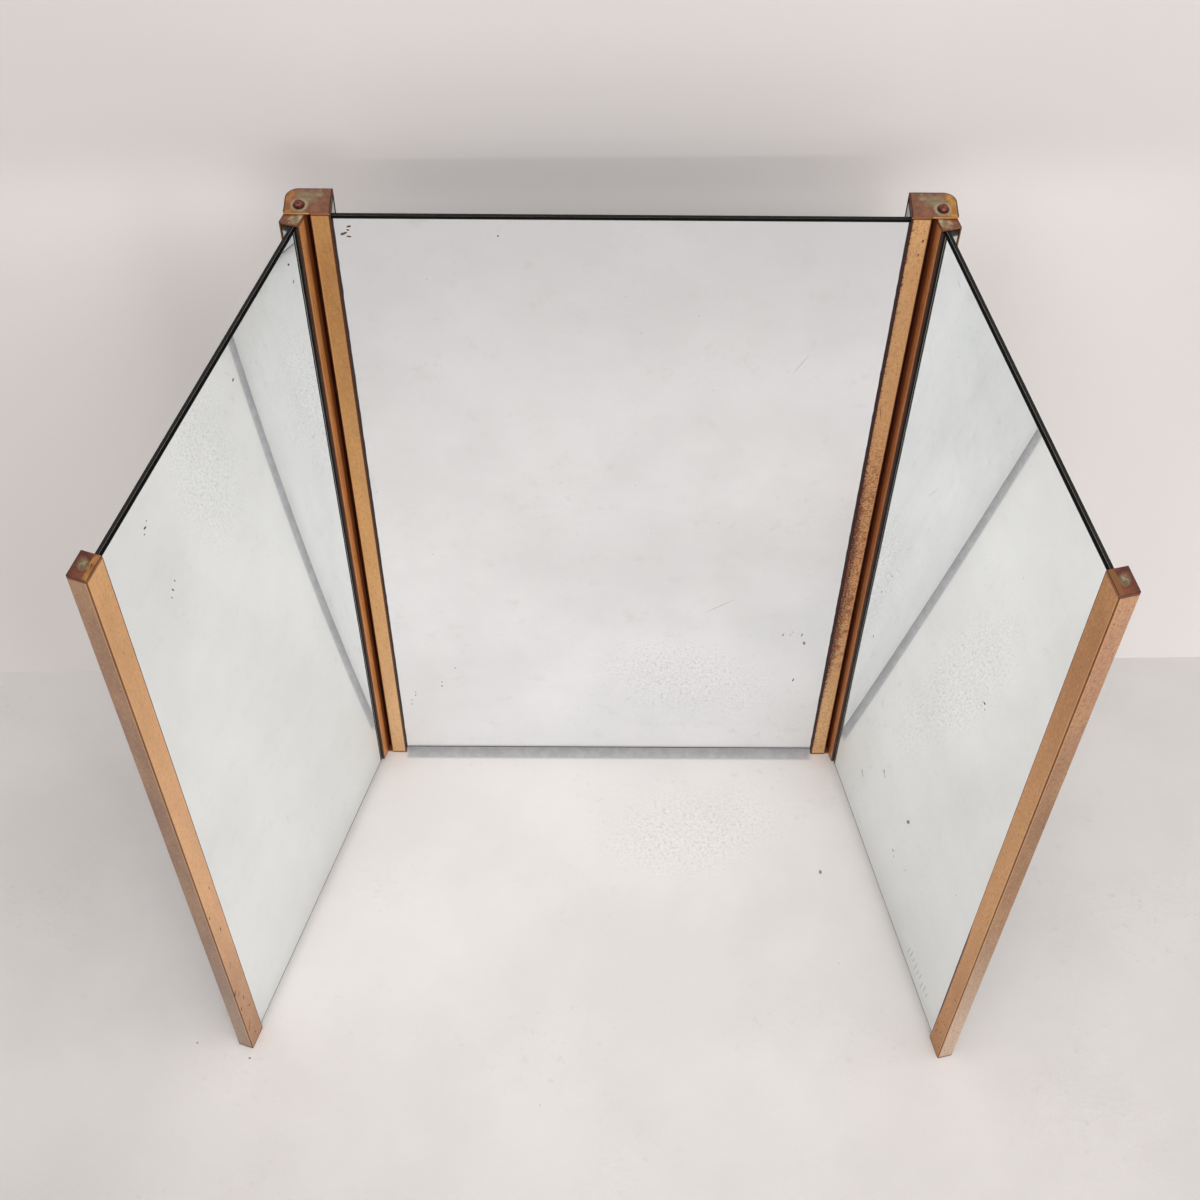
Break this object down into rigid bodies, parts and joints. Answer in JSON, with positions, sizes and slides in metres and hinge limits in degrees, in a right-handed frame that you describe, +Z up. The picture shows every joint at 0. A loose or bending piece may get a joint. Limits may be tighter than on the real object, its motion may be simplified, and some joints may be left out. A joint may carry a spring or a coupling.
{
  "type": "three panel floor mirror",
  "caption": "Free-standing folding floor mirror: centre mirror and two swinging wings, each glass held between upright brass channels and hung on pivot pins through eared end plates.",
  "frame": {"origin": "on the floor, at the middle of the footprint that the mirror covers with its wings at rest", "axes": "+Z up, +X to the right of a person who looks into the centre mirror, +Y away from that person"},
  "size_m": [0.9898, 0.5246, 1.1252],
  "materials": {
    "post_brass": "aged lacquered brass channel, satin, pitted in places",
    "plate_brass": "oxidised brass plate with green bloom",
    "pin_copper": "dark reddish peened pin",
    "washer_brass": "worn brass washer",
    "mirror_glass": "silvered float glass with dark ground edges and slight foxing",
    "black_board": "black painted backing board",
    "grey_timber": "pale grey painted packing strip",
    "black_rubber": "matte setting block"
  },
  "bodies": {
    "centre_panel": {"centre_mirror_glass": "mirror_glass", "centre_backing_board": "black_board", "left_centre_post": "post_brass", "left_centre_packing_strip": "grey_timber", "left_centre_setting_block": "black_rubber", "left_top_hinge_plate": "plate_brass", "left_bottom_hinge_plate": "plate_brass", "left_top_hinge_pin": "pin_copper", "left_bottom_hinge_pin": "pin_copper", "left_top_hinge_washer": "washer_brass", "left_bottom_hinge_washer": "washer_brass", "right_centre_post": "post_brass", "right_centre_packing_strip": "grey_timber", "right_centre_setting_block": "black_rubber", "right_top_hinge_plate": "plate_brass", "right_bottom_hinge_plate": "plate_brass", "right_top_hinge_pin": "pin_copper", "right_bottom_hinge_pin": "pin_copper", "right_top_hinge_washer": "washer_brass", "right_bottom_hinge_washer": "washer_brass"},
    "left_wing": {"left_wing_mirror_glass": "mirror_glass", "left_wing_backing_board": "black_board", "left_wing_hinge_post": "post_brass", "left_wing_hinge_packing_strip": "grey_timber", "left_wing_hinge_setting_block": "black_rubber", "left_wing_hinge_top_cap": "plate_brass", "left_wing_hinge_bottom_cap": "plate_brass", "left_wing_outer_post": "post_brass", "left_wing_outer_packing_strip": "grey_timber", "left_wing_outer_setting_block": "black_rubber", "left_wing_outer_top_cap": "plate_brass", "left_wing_outer_bottom_cap": "plate_brass"},
    "right_wing": {"right_wing_mirror_glass": "mirror_glass", "right_wing_backing_board": "black_board", "right_wing_hinge_post": "post_brass", "right_wing_hinge_packing_strip": "grey_timber", "right_wing_hinge_setting_block": "black_rubber", "right_wing_hinge_top_cap": "plate_brass", "right_wing_hinge_bottom_cap": "plate_brass", "right_wing_outer_post": "post_brass", "right_wing_outer_packing_strip": "grey_timber", "right_wing_outer_setting_block": "black_rubber", "right_wing_outer_top_cap": "plate_brass", "right_wing_outer_bottom_cap": "plate_brass"}
  },
  "joints": [
    {"name": "left_wing_hinge", "type": "hinge", "parent": "centre_panel", "child": "left_wing", "pos_m": [-0.32287, 0.23675, 0.56], "axis": [0, 0, 1], "range_deg": [-101.7, 28.3]},
    {"name": "right_wing_hinge", "type": "hinge", "parent": "centre_panel", "child": "right_wing", "pos_m": [0.36113, 0.23675, 0.56], "axis": [0, 0, -1], "range_deg": [-106.2, 23.8]}
  ]
}
